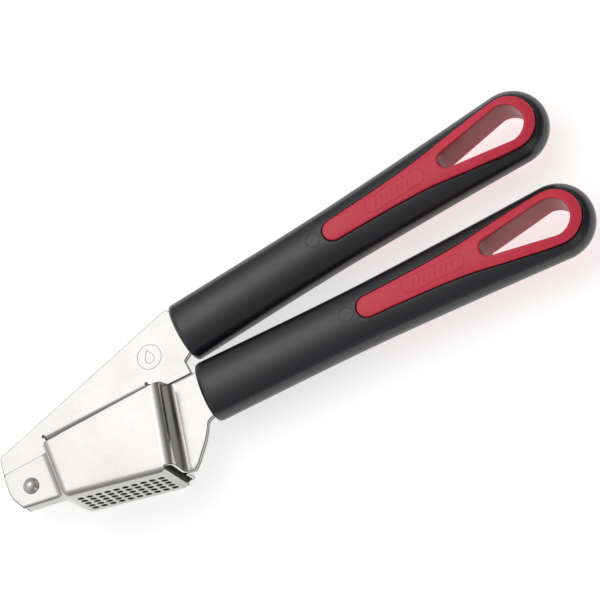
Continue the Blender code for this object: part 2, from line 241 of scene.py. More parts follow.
def finish_base(name):
    """New material with its node tree and its shader node."""
    mat = bpy.data.materials.new(name)
    mat.use_nodes = True
    tree = mat.node_tree
    return mat, tree, tree.nodes["Principled BSDF"]


def node(tree, kind, inputs=None, **settings):
    """Node with its settings; each input is a value or another node's output."""
    made = tree.nodes.new(kind)
    for key, value in settings.items():
        setattr(made, key, value)
    for key, value in (inputs or {}).items():
        if isinstance(value, bpy.types.NodeSocket):
            tree.links.new(value, made.inputs[key])
        else:
            made.inputs[key].default_value = value
    return made


def place(tree, scale, turn=0.0, centre=(0, 0, 0)):
    """Object coordinates, centred, turned about Z and scaled."""
    coords = node(tree, "ShaderNodeTexCoord").outputs["Object"]
    moved = node(tree, "ShaderNodeVectorMath", {0: coords, 1: centre}, operation="SUBTRACT")
    return node(tree, "ShaderNodeMapping", {"Vector": moved.outputs[0], "Scale": scale,
                                            "Rotation": (0, 0, turn)}).outputs[0]


def noise(tree, where, scale, detail=3.0, rough=0.5):
    """Noise between 0 and 1 at a place."""
    return node(tree, "ShaderNodeTexNoise", {"Vector": where, "Scale": scale, "Detail": detail,
                                             "Roughness": rough}).outputs["Fac"]


def spread(tree, value, low, high, start=0.3, end=0.7):
    """Value stretched from start..end to low..high, and held there beyond."""
    return node(tree, "ShaderNodeMapRange", {"Value": value, "From Min": start, "From Max": end,
                                             "To Min": low, "To Max": high}).outputs[0]


def ramp(tree, value, first, second):
    """Colour between two tones."""
    made = node(tree, "ShaderNodeValToRGB", {"Fac": value})
    for stop, colour in zip(made.color_ramp.elements, (first, second)):
        stop.color = (*colour, 1)
    return made.outputs["Color"]


def add(tree, a, b, share=1.0):
    """The first value and a share of the second."""
    part = node(tree, "ShaderNodeMath", {0: b, 1: share}, operation="MULTIPLY").outputs[0]
    return node(tree, "ShaderNodeMath", {0: a, 1: part}, operation="ADD").outputs[0]


def tint(tree, colour, shade):
    """Colour multiplied by a shade."""
    return node(tree, "ShaderNodeVectorMath", {0: colour, 1: shade},
                operation="MULTIPLY").outputs[0]


def relief(tree, bsdf, height, strength, distance):
    """Bump on the whole finish."""
    bump = node(tree, "ShaderNodeBump", {"Height": height, "Strength": strength,
                                         "Distance": distance})
    tree.links.new(bump.outputs["Normal"], bsdf.inputs["Normal"])


def satin_steel(name, turn=0.0, tone=(0.575, 0.568, 0.555), rough=0.21, painted_bend_light=False):
    """Rolled stainless sheet: fine grain along its length and soft cloudiness.

    When asked, the tone is raised along the far bend: painted light standing in for
    the bright reflections there, streaked by noise; distance from the bend's line decides how much.
    """
    mat, tree, bsdf = finish_base(name)
    grain = noise(tree, place(tree, (60, 2600, 2600), turn), 1.0, 2.0)
    cloud = noise(tree, place(tree, (1, 1, 1)), 70.0, 3.0)
    scuff = noise(tree, place(tree, (1, 1, 1)), 900.0, 4.0, 0.65)
    dark = tuple(c * 0.93 for c in tone)
    colour = ramp(tree, cloud, dark, tone)
    # painted light: brighter tone along the far bend, streaked by noise
    if painted_bend_light:
        offset = place(tree, (1, 1, 1), centre=tuple(BEND_MIDDLE * MM + PIVOT))
        away = node(tree, "ShaderNodeVectorMath", {0: offset, 1: BEND_ACROSS},
                    operation="DOT_PRODUCT").outputs["Value"]
        away = node(tree, "ShaderNodeMath", {0: away}, operation="ABSOLUTE").outputs[0]
        streak = noise(tree, place(tree, (300, 4200, 300)), 1.0, 3.0)
        shade = spread(tree, add(tree, away, streak, 0.0016), *PAINTED_BEND_LIGHT)
        colour = tint(tree, colour, shade)
    tree.links.new(colour, bsdf.inputs["Base Color"])
    bsdf.inputs["Metallic"].default_value = 1.0
    mixed = add(tree, add(tree, cloud, grain, 0.55), scuff, 0.35)
    tree.links.new(spread(tree, mixed, rough - 0.05, rough + 0.07, 0.65, 1.3),
                   bsdf.inputs["Roughness"])
    relief(tree, bsdf, add(tree, grain, scuff, 0.4), 0.05, 0.00004)
    return mat


def sheared_steel(name):
    """Torn wall of a punched hole: dull, dark and streaked along the punch's way."""
    mat, tree, bsdf = finish_base(name)
    tear = noise(tree, place(tree, (3000, 400, 3000)), 1.0, 3.0)
    tree.links.new(ramp(tree, tear, (0.03, 0.03, 0.035), (0.07, 0.07, 0.08)),
                   bsdf.inputs["Base Color"])
    bsdf.inputs["Metallic"].default_value = 0.6
    tree.links.new(spread(tree, tear, 0.45, 0.65), bsdf.inputs["Roughness"])
    relief(tree, bsdf, tear, 0.3, 0.00005)
    return mat


def turned_steel(name, centre):
    """Rivet head: fine rings left by forming, polished."""
    mat, tree, bsdf = finish_base(name)
    flat = place(tree, (1, 1, 0), centre=centre)
    away = node(tree, "ShaderNodeVectorMath", {0: flat}, operation="LENGTH").outputs["Value"]
    rings = noise(tree, node(tree, "ShaderNodeCombineXYZ", {"X": away}).outputs[0], 9000.0, 2.0)
    cloud = noise(tree, place(tree, (1, 1, 1)), 500.0)
    tree.links.new(ramp(tree, cloud, (0.62, 0.61, 0.60), (0.72, 0.71, 0.70)),
                   bsdf.inputs["Base Color"])
    bsdf.inputs["Metallic"].default_value = 1.0
    tree.links.new(spread(tree, rings, 0.14, 0.24), bsdf.inputs["Roughness"])
    relief(tree, bsdf, rings, 0.10, 0.00003)
    return mat


def grained_black(name):
    """Moulded soft-touch black: fine spark-eroded grain and faint handling marks."""
    mat, tree, bsdf = finish_base(name)
    grain = noise(tree, place(tree, (1, 1, 1)), 5200.0, 3.0, 0.6)
    cloud = noise(tree, place(tree, (1, 1, 1)), 55.0, 3.0)
    tree.links.new(ramp(tree, cloud, (0.008, 0.008, 0.0125), (0.013, 0.013, 0.019)),
                   bsdf.inputs["Base Color"])
    bsdf.inputs["Specular IOR Level"].default_value = 0.75
    tree.links.new(spread(tree, add(tree, cloud, grain, 0.5), 0.21, 0.30, 0.55, 0.95),
                   bsdf.inputs["Roughness"])
    relief(tree, bsdf, grain, 0.22, 0.00006)
    return mat


def satin_red(name):
    """Moulded red: smooth satin skin, uneven in gloss, with painted shade on upright walls: darker
    the further a face turns from level.
    """
    mat, tree, bsdf = finish_base(name)
    skin = noise(tree, place(tree, (1, 1, 1)), 2600.0, 3.0)
    cloud = noise(tree, place(tree, (1, 1, 1)), 90.0, 2.0)
    # painted shade: the red darkens on faces turned away from level, such as the loop's walls
    normal = node(tree, "ShaderNodeSeparateXYZ",
                  {0: node(tree, "ShaderNodeNewGeometry").outputs["Normal"]}).outputs["Z"]
    level = node(tree, "ShaderNodeMath", {0: normal}, operation="ABSOLUTE").outputs[0]
    shade = spread(tree, level, 0.45, 1.0, 0.1, 0.75)
    colour = ramp(tree, cloud, (0.80, 0.030, 0.074), (0.89, 0.042, 0.095))
    tree.links.new(tint(tree, colour, shade), bsdf.inputs["Base Color"])
    tree.links.new(spread(tree, add(tree, cloud, skin, 0.4), 0.30, 0.42, 0.5, 0.9),
                   bsdf.inputs["Roughness"])
    bsdf.inputs["Subsurface Weight"].default_value = 0.05
    bsdf.inputs["Subsurface Radius"].default_value = (0.002, 0.0006, 0.0004)
    relief(tree, bsdf, skin, 0.10, 0.00004)
    return mat


# ---------------------------------------------------------------- lower lever

def top_y(x):
    """Top edge of the lever: a straight line."""
    return TOP_Y + TOP_SLOPE * x


def sieve_y(x):
    """Outside of the hopper's floor: a straight line through the first hole."""
    return SIEVE_Y + SIEVE_SLOPE * (x - SIEVE_X)


def channel_y(x):
    """Outside of the channel's floor: a straight line passing under the pivot."""
    return CHANNEL_Y + CHANNEL_SLOPE * x


def rear_edge(f):
    """Rear outline of the channel: upright, then rounded under towards its floor.

    The rounding grows with the square of the distance past the straight part.
    """
    top = top_y(REAR_TOP_X)
    y = top + (channel_y(REAR_LOW_X) + CHANNEL_FOLD - top) * f
    rounded = np.clip((f - REAR_STRAIGHT) / (1 - REAR_STRAIGHT), 0, 1)
    return REAR_EDGE_X + REAR_ROUND * rounded ** 2, y


def tang_edge(t):
    """Lower outline of the tang, a hooked curve from the hopper to the handle."""
    stations = np.linspace(0, 1, len(TANG_X))
    x = curve_through(np.column_stack([stations, TANG_X]), t)
    y = curve_through(np.column_stack([stations, TANG_Y]), t)
    return x, y


def floor_stations():
    """Places along the hopper's floor, evenly spaced over the holes."""
    pitch = PITCH / sqrt(1 + SIEVE_SLOPE ** 2)
    first, last = SIEVE_X - pitch / 2, SIEVE_X + pitch * (HOLES_ALONG - 0.5)
    return np.concatenate([[(NEAR_LOW + first) / 2],
                           np.linspace(first, last, HOLES_ALONG * CELL + 1),
                           np.linspace(last, FAR_LOW, FLOOR_END_SQUARES + 1)[1:]])


def across_floor(edge):
    """Places across the floor as shares of its half width, evenly spaced over the holes."""
    panel = HOLES_ACROSS * PITCH / 2
    return np.concatenate([np.linspace(edge, panel, MARGIN_ROWS + 2)[1:-1],
                           np.linspace(panel, -panel, HOLES_ACROSS * CELL + 1),
                           np.linspace(-panel, -edge, MARGIN_ROWS + 2)[1:-1]]) / edge


def lever_grid():
    """Stations along the sheet and rows round its U section.

    The rows run down one wall, round the fold, across the floor and up the other
    wall.  Past the floor's straight far edge only the wall rows are used: they
    close in on each other through an S-shaped bend and go on as the tang.
    Returns the points, the floor's last station, the number of rows down a wall
    and the corner of the first hole's block of squares.
    """
    run_near, fall_near = s_bend(HOPPER_HALF - CHANNEL_HALF, *NEAR_BEND, BEND_POINTS)
    run_far, fall_far = s_bend(HOPPER_HALF - TANG_HALF, *FAR_BEND, BEND_POINTS)
    floor = floor_stations()
    back = np.linspace(0, 1, BACK_SQUARES + 1)[:-1]
    near_low, near_top = NEAR_LOW - run_near[::-1], NEAR_TOP - run_near[::-1]
    share = (floor - NEAR_LOW) / (FAR_LOW - NEAR_LOW)
    tang = np.linspace(0, 1, TANG_POINTS)[1:]
    tang_low_x, tang_low_y = tang_edge(tang)
    far_low, far_top = FAR_LOW + run_far, FAR_TOP + run_far
    tang_top_x = far_top[-1] + (TANG_END - far_top[-1]) * tang
    x_low = np.concatenate([back * 0, near_low, floor, far_low[1:], tang_low_x])
    x_top = np.concatenate([back * 0, near_top, NEAR_TOP + share * (FAR_TOP - NEAR_TOP),
                            far_top[1:], tang_top_x])
    half = np.concatenate([back * 0 + CHANNEL_HALF, HOPPER_HALF - fall_near[::-1],
                           floor * 0 + HOPPER_HALF, (HOPPER_HALF - fall_far)[1:],
                           tang * 0 + TANG_HALF])
    n_back, n_floor = len(back), len(floor)
    station = np.arange(len(x_low))
    u_floor = n_back + len(near_low)
    u_web_end = u_floor + n_floor - 1
    u_tang = u_web_end + len(run_far) - 1
    far = station > u_web_end

    # how far each station has gone over from channel to hopper, then from hopper to tang
    blend = smooth((x_low - near_low[0]) / (NEAR_LOW - near_low[0]))
    gone = np.clip((station - u_web_end) / (u_tang - u_web_end), 0, 1)
    web_y = channel_y(x_low) * (1 - blend) + sieve_y(x_low) * blend
    fold = CHANNEL_FOLD + (FOLD_RADIUS - CHANNEL_FOLD) * blend
    low_y = web_y + fold
    low_end = low_y[u_web_end]
    low_y = np.where(far, low_end + (tang_low_y[0] - low_end) * gone, low_y)
    low_y[u_tang + 1:] = tang_low_y
    rise = (TANG_TOP - top_y(x_top)) * smooth(gone)
    high_y = np.where(far, top_y(x_top) + rise, top_y(x_top))

    wall = np.linspace(0, 1, WALL_POINTS)
    f = wall[None, :]
    x = x_top[:, None] * (1 - f) + x_low[:, None] * f
    y = high_y[:, None] * (1 - f) + low_y[:, None] * f
    rear_x, rear_y = rear_edge(wall)
    to_near = back[:, None]
    x[:n_back] = rear_x * (1 - to_near) + x[n_back] * to_near
    y[:n_back] = rear_y * (1 - to_near) + y[n_back] * to_near
    x_low, low_y = x[:, -1], y[:, -1]
    span = np.clip((station - u_floor) / n_floor, 0, 1)
    z = half[:, None] + CROWN * np.sin(pi * span)[:, None] * np.sin(pi * f) ** CROWN_POWER
    walls = np.stack([x, y, z], axis=-1)

    ease = np.radians(np.linspace(0, 90, FOLD_POINTS))[1:]
    last_hole = floor[-FLOOR_END_SQUARES - 1]
    lift = FLOOR_LIP * smooth((x_low - last_hole) / (FAR_LOW - last_hole)) * ~far
    tuck = np.concatenate([REAR_TUCK * (1 - back), np.zeros(len(station) - n_back)])
    fold_x = x_low[:, None] + tuck[:, None] * (1 - np.cos(ease))
    fold_y = low_y[:, None] - fold[:, None] * np.sin(ease) + lift[:, None] * (1 - np.cos(ease))
    fold_z = half[:, None] - fold[:, None] * (1 - np.cos(ease))
    folds = np.stack([fold_x, fold_y, fold_z], axis=-1)

    web_z = (half - fold)[:, None] * across_floor(HOPPER_HALF - FOLD_RADIUS)
    web_x = np.broadcast_to((x_low + tuck)[:, None], web_z.shape)
    web_level = np.broadcast_to((low_y - fold + lift)[:, None], web_z.shape)
    webs = np.stack([web_x, web_level, web_z], axis=-1)
    grid = np.concatenate([walls, folds, webs, folds[:, ::-1] * MIRROR,
                           walls[:, ::-1] * MIRROR], axis=1)
    sieve = (u_floor + 1, len(wall) + len(ease) + MARGIN_ROWS)
    return grid, u_web_end, len(wall), sieve


def punch(grid, keep, corners, size, radius, start):
    """Round holes: each block of squares gives way to a ring of faces.

    The ring joins the block's border to a circle about its middle, drawn in the
    block's own plane.  Returns the extra points and faces.
    """
    nv = grid.shape[1]
    k = np.arange(size)
    du = np.concatenate([k, k * 0 + size, size - k, k * 0])
    dv = np.concatenate([k * 0, k, k * 0 + size, size - k])
    corners = np.asarray(corners)
    u, v = corners[:, :1] + du, corners[:, 1:] + dv
    border = grid[u, v]
    middle = border.mean(axis=1, keepdims=True)
    out = border - middle
    out = out / np.linalg.norm(out, axis=-1, keepdims=True)
    circle = middle + out * radius
    for a, b in corners:
        keep[a:a + size, b:b + size] = False
    n = 4 * size
    new = np.arange(len(corners) * n).reshape(-1, n) + start
    old = u * nv + v
    ring = np.stack([old, np.roll(old, -1, 1), np.roll(new, -1, 1), new], axis=-1)
    return circle.reshape(-1, 3), ring.reshape(-1, 4)


def hopper_lever(finish, shear, rim):
    """Hopper, channel and tang in one folded sheet, with the sieve's holes punched.

    Squares past the floor's far edge are left out, and so are the points that
    no face uses.  Faces nearer to a hole's middle than a share of the pitch
    carry slot 1, so that the rim made from them gets the sheared finish.
    """
    grid, web_end, n_wall, sieve = lever_grid()
    nu, nv = grid.shape[:2]
    faces = quads(nu, nv)
    keep = np.ones(faces.shape[:2], bool)
    keep[web_end:, n_wall - 1:nv - n_wall] = False
    corners = [(sieve[0] + i * CELL, sieve[1] + j * CELL)
               for i in range(HOLES_ALONG) for j in range(HOLES_ACROSS)]
    points = grid.reshape(-1, 3)
    holes, rings = punch(grid, keep, corners, CELL, HOLE_RADIUS, len(points))
    used, faces = np.unique(np.concatenate([faces[keep], rings]), return_inverse=True)
    points = np.concatenate([points, holes])[used]
    ob = make("hopper_sheet", points, faces.reshape(-1, 4), LOWER, finish, UPWARD)
    for extra in (finish, shear, rim):
        ob.data.materials.append(extra)
    middles = np.empty(len(ob.data.polygons) * 3, np.float32)
    ob.data.polygons.foreach_get("center", middles)
    spots = holes.reshape(-1, 4 * CELL, 3).mean(axis=1) * MM + PIVOT
    away = np.linalg.norm(middles.reshape(-1, 1, 3) - spots[None], axis=-1).min(axis=1)
    near_hole = away < PITCH * RIM_REACH * MM
    ob.data.polygons.foreach_set("material_index", near_hole.astype(int))
    thicken(ob, EASE_LEVER, 3)
    ob.modifiers["sheet"].material_offset_rim = 1
    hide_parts("hopper_lever")


# ---------------------------------------------------------------- arm

def arc(centre, radius, a0, a1, n):
    """Points on a circle about a centre, from one angle to another in degrees."""
    a = np.radians(np.linspace(a0, a1, n))
    return np.column_stack([centre[0] + radius * np.cos(a), centre[1] + radius * np.sin(a)])


def flare_grid():
    """Rows go down from the fold, outwards over the shoulder and down the skirt.

    The S-shaped bend's run takes a row from the fold to the skirt's top, and its
    drop takes the row outwards; below that the skirt is straight.
    """
    run, fall = s_bend(SKIRT_HALF - TANG_HALF, *SKIRT_BEND, SKIRT_ACROSS)
    share = run / run[-1]
    u = np.linspace(0, 1, SKIRT_ALONG)[:, None]
    near = FOLD_NEAR[0] + (CREST_NEAR - FOLD_NEAR[0]) * share
    far = FOLD_FAR[0] + (CREST_FAR - FOLD_FAR[0]) * share
    x = near * (1 - u) + far * u
    fold_y = FOLD_NEAR[1] * (1 - u) + FOLD_FAR[1] * u
    skirt_y = top_y(x) - SKIRT_DROP
    y = fold_y + (skirt_y - fold_y) * share
    z = np.broadcast_to(TANG_HALF + fall, x.shape)
    down = np.linspace(0, 1, SKIRT_DOWN + 1)[None, 1:]
    x = np.concatenate([x, np.repeat(x[:, -1:], SKIRT_DOWN, axis=1)], axis=1)
    y = np.concatenate([y, y[:, -1:] * (1 - down) + SKIRT_LOW * down], axis=1)
    z = np.concatenate([z, np.full((len(u), SKIRT_DOWN), SKIRT_HALF)], axis=1)
    return np.stack([x, y, z], axis=-1)


def arm_outline(seam):
    """Corners of the arm's flat face, anticlockwise from under the heel.

    The seam is the fold's run of points, with a round slit end on either side.
    """
    return np.concatenate([
        arc((0, 0), HEEL_RADIUS, -155, -20, 18),
        arc((7.2, 5.2), 1.4, -55, -20, 4),
        [(9.7, 7.0)],
        arc((8.75, 14.15), SLIT_END, -30, -250, 10),
        seam,
        arc((46.65, 14.85), SLIT_END, 120, -60, 10),
        [(50.9, 12.4)], arc((52.2, 12.55), 1.2, 195, 270, 6),
        [(61.3, 11.35)], arc((61.4, 11.65), 0.3, 280, 360, 4),
        [(61.25, 15.3)], arc((61.75, 15.9), 0.6, 175, 140, 3),
        [(63.8, 18.0), (68.0, 18.3), (68.0, 33.0), (62.3, 33.9)],
        arc((59.3, 31.2), 3.6, 75, 105, 6) + np.array([1.2, 0.15]),
        [(-5.2, 14.75)], arc((-6.1, 13.1), 1.45, 95, 175, 8),
        arc((-6.6, 8.4), 1.4, 180, 225, 5), [(-4.75, 4.3)]])


def press_arm(finish, rim):
    """Flat outline in one face, with the flared part hung on its lower edge.

    The back half is the front half's mirror image in the middle plane.
    """
    flare = flare_grid()
    outline = arm_outline(flare[:, 0, :2])
    start = len(outline)
    flat = np.column_stack([outline, np.full(start, TANG_HALF)])
    points = np.concatenate([flat, flare.reshape(-1, 3)])
    squares = (quads(*flare.shape[:2]) + start).reshape(-1, 4)
    faces = [tuple(range(start))] + squares.tolist()
    for half, shape, up in (("front", points, UPWARD), ("back", points * MIRROR, DOWNWARD)):
        ob = make("arm_sheet_" + half, shape, faces, ARM, finish, up)
        ob.data.materials.append(rim)
        thicken(ob, EASE_ARM, 1)
        if half == "front":
            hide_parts("press_arm")


# ---------------------------------------------------------------- rivet

def rivet(finish):
    """Profile turned about the hinge axis: domed heads on a plain shank.

    A head is a cap of the ball that meets its rim at the dome's angle.
    """
    base = CHANNEL_HALF + RIVET_STAND
    ball = RIVET_HEAD / sin(RIVET_DOME)
    r = RIVET_HEAD * np.linspace(0, 1, RIVET_RINGS)
    cap = base + RIVET_RIM + np.sqrt(ball ** 2 - r ** 2) - ball * cos(RIVET_DOME)
    dome = np.column_stack([r, cap])
    rim = np.array([(RIVET_HEAD, base + RIVET_EDGE), (RIVET_HEAD - RIVET_EDGE, base),
                    (RIVET_SHANK, base)])
    side = np.concatenate([dome, rim])
    radius, level = np.concatenate([side, side[::-1] * np.array([1, -1])]).T
    a = np.arange(RIVET_SIDES) * 2 * pi / RIVET_SIDES
    x, y = radius[:, None] * np.cos(a), radius[:, None] * np.sin(a)
    points = np.stack([x, y, np.broadcast_to(level[:, None], x.shape)], axis=-1)
    ob = make("rivet", points, quads(*x.shape, wrap_v=True).reshape(-1, 4), LOWER, finish)
    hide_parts("pivot_rivet")


# ---------------------------------------------------------------- handles

def handle_axes(which):
    """Front of a handle, and the directions along it and across it.

    The upper handle is turned by its tilt and set off to the side of that line.
    """
    tilt = 0.0 if which == "lower" else UPPER_TILT
    along, side = np.array([cos(tilt), sin(tilt)]), np.array([-sin(tilt), cos(tilt)])
    if which == "lower":
        return np.array([LOWER_FRONT, LOWER_AXIS_Y]), along, side
    return along * UPPER_FRONT + side * UPPER_OFFSET, along, side


def to_press(which, s, w, z):
    """Places along, across and through a handle as press millimetres."""
    start, along, side = handle_axes(which)
    flat = start + s[..., None] * along + w[..., None] * side
    return np.concatenate([flat, z[..., None]], axis=-1)


def face_height(s, w):
    """Upper face of a handle: a super-ellipse across, rounded over at both ends."""
    end_s, end_r = GRIP[-1]
    width = curve_through(GRIP, s)
    across = np.where(s < end_s, np.abs(w) / width, np.hypot(s - end_s, w) / end_r)
    front = (np.clip(FRONT_START - s, 0, None) / FRONT_RUN) ** FRONT_POWER
    inside = 1 - across ** SECTION_POWER - front
    return HALF_THICK * np.clip(inside, 0, None) ** (1 / SECTION_POWER)


def fan(table, a, grow=0.0):
    """Drop outline: round narrow end, smooth sides and round wide end.

    The parameter goes 0-1 round the narrow end, 1-2 along one side, 2-3 round the
    wide end and 3-4 back along the other side.
    """
    s0, r0 = table[0]
    s1, r1 = table[-1]
    part = np.clip(a, 0, 1)
    tip = np.radians(270 - 180 * part)
    s, w = s0 + (r0 + grow) * np.cos(tip), (r0 + grow) * np.sin(tip)
    run = np.where(a < 2.5, np.clip(a - 1, 0, 1), np.clip(4 - a, 0, 1))
    side_s = s0 + (s1 - s0) * run
    side_w = (curve_through(table, side_s) + grow) * np.where(a < 2.5, 1, -1)
    end = np.radians(90 - 180 * np.clip(a - 2, 0, 1))
    end_s, end_w = s1 + (r1 + grow) * np.cos(end), (r1 + grow) * np.sin(end)
    on_side = ((a >= 1) & (a <= 2)) | (a >= 3)
    on_end = (a > 2) & (a < 3)
    s = np.where(on_side, side_s, np.where(on_end, end_s, s))
    w = np.where(on_side, side_w, np.where(on_end, end_w, w))
    return s, w


def round_parameter(n_tip, n_side, n_end):
    """Evenly spaced values of the drop outline's parameter, part by part."""
    return np.concatenate([np.linspace(0, 1, n_tip, endpoint=False),
                           1 + np.linspace(0, 1, n_side, endpoint=False),
                           2 + np.linspace(0, 1, n_end, endpoint=False),
                           3 + np.linspace(0, 1, n_side, endpoint=False)])


def handle_rim(a):
    """Handle outline matched to the inlay's: its front takes the narrow end's share.

    The blunt front is a super-ellipse, and the rear a half circle.
    """
    s_tip, _ = INLAY[0]
    s_end, r_end = GRIP[-1]
    part = np.clip(a, 0, 1)
    # narrow end's share: back along one side, across the front and out again
    path = (part - 0.5) * 2
    on_side = np.abs(path) > FRONT_SHARE
    edge = np.clip(np.abs(path) / FRONT_SHARE, 0, 1)
    front_w = curve_through(GRIP, np.zeros_like(path)) * np.sin(edge * pi / 2)
    width0 = GRIP[0][1]
    open_part = np.clip(1 - (front_w / width0) ** SECTION_POWER, 0, 1) ** (1 / FRONT_POWER)
    front_s = FRONT_START - FRONT_RUN * open_part
    back = (np.abs(path) - FRONT_SHARE) / (1 - FRONT_SHARE)
    lead = np.where(on_side, FRONT_START + (s_tip - FRONT_START) * back, front_s)
    lead_w = np.where(on_side, curve_through(GRIP, lead), front_w) * np.sign(path)
    run = np.where(a < 2.5, np.clip(a - 1, 0, 1), np.clip(4 - a, 0, 1))
    long_s = s_tip + (s_end - s_tip) * run
    long_w = curve_through(GRIP, long_s) * np.where(a < 2.5, 1, -1)
    end = np.radians(90 - 180 * np.clip(a - 2, 0, 1))
    on_tip, on_end = a < 1, (a > 2) & (a < 3)
    s = np.where(on_tip, lead, np.where(on_end, s_end + r_end * np.cos(end), long_s))
    w = np.where(on_tip, lead_w, np.where(on_end, r_end * np.sin(end), long_w))
    return s, w


def both_faces(which, s, w, z):
    """Closed skin from the rows of one face and their mirror image below."""
    s, w = np.concatenate([s, s[::-1]]), np.concatenate([w, w[::-1]])
    z = np.concatenate([z, -z[::-1]])
    return to_press(which, s, w, z)


def handle_skin(name, which, s, w, z, finish, node_name):
    """Closed piece of a handle from its rows, riding the handle's own body."""
    skin = both_faces(which, s, w, z)
    faces = quads(*skin.shape[:2], wrap_u=True, wrap_v=True).reshape(-1, 4)
    ob = make(which + name, skin, faces, BODY_OF[which], finish)
    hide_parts(which + node_name)


def grip(which, finish):
    """Skin between the inlay's window and the handle's outline, on both faces.

    Rows start half-way down the window's wall, round its lip, then cross the face;
    they are packed closer towards the outline, where the section turns down.
    """
    a = round_parameter(*GRIP_POINTS)
    in_s, in_w = fan(INLAY, a, WINDOW_GAP)
    off_s, off_w = fan(INLAY, a, WINDOW_GAP + LIP)
    out_s, out_w = handle_rim(a)
    t = np.sin(np.linspace(0, pi / 2, GRIP_ROWS))[:, None]
    s = off_s * (1 - t) + out_s * t
    w = off_w * (1 - t) + out_w * t
    z = face_height(s, w)
    z[-1] = 0
    turn = np.linspace(0, pi / 2, LIP_ROWS)[:-1][:, None]
    lip_s = in_s + (off_s - in_s) * (1 - np.cos(turn))
    lip_w = in_w + (off_w - in_w) * (1 - np.cos(turn))
    lip_z = z[0] - LIP * (1 - np.sin(turn))
    wall_z = lip_z[0] * np.array([[0.0], [0.5]])
    s = np.concatenate([np.broadcast_to(in_s, wall_z.shape), lip_s, s])
    w = np.concatenate([np.broadcast_to(in_w, wall_z.shape), lip_w, w])
    z = np.concatenate([wall_z, lip_z, z])
    handle_skin("_handle_grip", which, s, w, z, finish, "_grip")


def inlay(which, finish):
    """Red core: its faces stand a little proud, with eased edges and the loop's wall."""
    a = round_parameter(*INLAY_POINTS)
    rim_s, rim_w = fan(INLAY, a, -INLAY_FIT)
    start_s, start_w = fan(INLAY, a, -INLAY_FIT - INLAY_EDGE)
    hole_s, hole_w = fan(LOOP, a, 0.0)
    end_s, end_w = fan(LOOP, a, LOOP_EDGE)
    t = np.linspace(0, 1, INLAY_ROWS)[:, None]
    s = start_s * (1 - t) + end_s * t
    w = start_w * (1 - t) + end_w * t
    z = face_height(s, w) + INLAY_PROUD
    turn = np.linspace(0, pi / 2, EDGE_ROWS)[:, None]
    out_s = rim_s + (start_s - rim_s) * (1 - np.cos(turn))
    out_w = rim_w + (start_w - rim_w) * (1 - np.cos(turn))
    out_z = z[0] - INLAY_EDGE * (1 - np.sin(turn))
    in_s = end_s + (hole_s - end_s) * np.sin(turn)
    in_w = end_w + (hole_w - end_w) * np.sin(turn)
    in_z = z[-1] - LOOP_EDGE * (1 - np.cos(turn))
    wall_z = in_z[-1] * np.linspace(LOOP_WALL, 0, LOOP_ROWS)[:, None]
    wall_s, wall_w = (np.broadcast_to(v, wall_z.shape) for v in (hole_s, hole_w))
    s = np.concatenate([rim_s[None], out_s[:-1], s, in_s[1:], wall_s])
    w = np.concatenate([rim_w[None], out_w[:-1], w, in_w[1:], wall_w])
    z = np.concatenate([out_z[:1] * 0, out_z[:-1], z, in_z[1:], wall_z])
    handle_skin("_handle_inlay", which, s, w, z, finish, "_core")


def wire_loop(name, path, radius, body, finish):
    """Thin raised line: a small circle carried along a closed path."""
    path = np.asarray(path, float)
    along = np.roll(path, -1, 0) - np.roll(path, 1, 0)
    along /= np.linalg.norm(along, axis=1, keepdims=True)
    up = np.array([0, 0, 1.0])
    side = np.cross(up, along)
    side /= np.linalg.norm(side, axis=1, keepdims=True)
    lift = np.cross(along, side)
    b = (np.arange(WIRE_SIDES) * 2 * pi / WIRE_SIDES)[None, :, None]
    tube = path[:, None] + radius * (np.cos(b) * side[:, None] + np.sin(b) * lift[:, None])
    faces = quads(len(path), WIRE_SIDES, wrap_u=True, wrap_v=True).reshape(-1, 4)
    ob = make(name, tube, faces, body, finish)


def on_face(which, s, w, lift):
    """Points lying on a handle's upper face at the given places, raised by `lift`."""
    return to_press(which, s, w, face_height(s, w) + lift)


def ring_path(centre, radius, n=40):
    """Evenly spaced points on a circle."""
    a = np.arange(n) * 2 * pi / n
    return centre[0] + radius * np.cos(a), centre[1] + radius * np.sin(a)


def slot_path(s0, s1, half, n=16):
    """Outline of a slot with round ends."""
    a = np.radians(np.linspace(-90, 90, n))
    s = np.concatenate([s1 - half + half * np.cos(a), s0 + half - half * np.cos(a)])
    w = np.concatenate([half * np.sin(a), -half * np.sin(a)])
    return s, w


def handle_marks(which, black, red):
    """Moulded ring ahead of the inlay, and a plain ribbed grip panel on the inlay."""
    body = BODY_OF[which]
    path = on_face(which, *ring_path(RING_AT, RING_RADIUS), -RING_SUNK)
    wire_loop(which + "_moulded_ring", path, RING_WIRE, body, black)
    frame_path = slot_path(PANEL_START, PANEL_END, PANEL_HALF)
    path = on_face(which, *frame_path, INLAY_PROUD - PANEL_SUNK)
    wire_loop(which + "_panel_frame", path, PANEL_WIRE, body, red)
    s, w = slot_path(-RIB_LONG, RIB_LONG, RIB_HALF, 6)
    lean_s, lean_w = s * cos(RIB_LEAN) - w * sin(RIB_LEAN), s * sin(RIB_LEAN) + w * cos(RIB_LEAN)
    for k, at in enumerate(np.linspace(RIB_FIRST, RIB_LAST, RIBS)):
        path = on_face(which, at + lean_s, lean_w, INLAY_PROUD - RIB_SUNK)
        wire_loop(f"{which}_panel_rib_{k}", path, RIB_WIRE, body, red)


def badge(finish):
    """Pressed ring round a plain garlic clove outline, on the arm's flat face.

    The clove's height follows a cosine; its width follows the sine, drawn in
    towards the point by a power of the half angle's sine.
    """
    a = np.arange(40) * 2 * pi / 40
    clove = (BADGE[0] + DROP_WIDE * np.sin(a) * np.sin(a / 2) ** DROP_POINT,
             BADGE[1] + DROP_LIFT + DROP_LONG * np.cos(a))
    for name, (x, y) in (("ring", ring_path(BADGE, BADGE_RADIUS, 48)), ("clove", clove)):
        path = np.column_stack([x, y, np.full(len(x), TANG_HALF + BADGE_LIFT)])
        wire_loop("badge_" + name, path, BADGE_WIRE, ARM, finish)


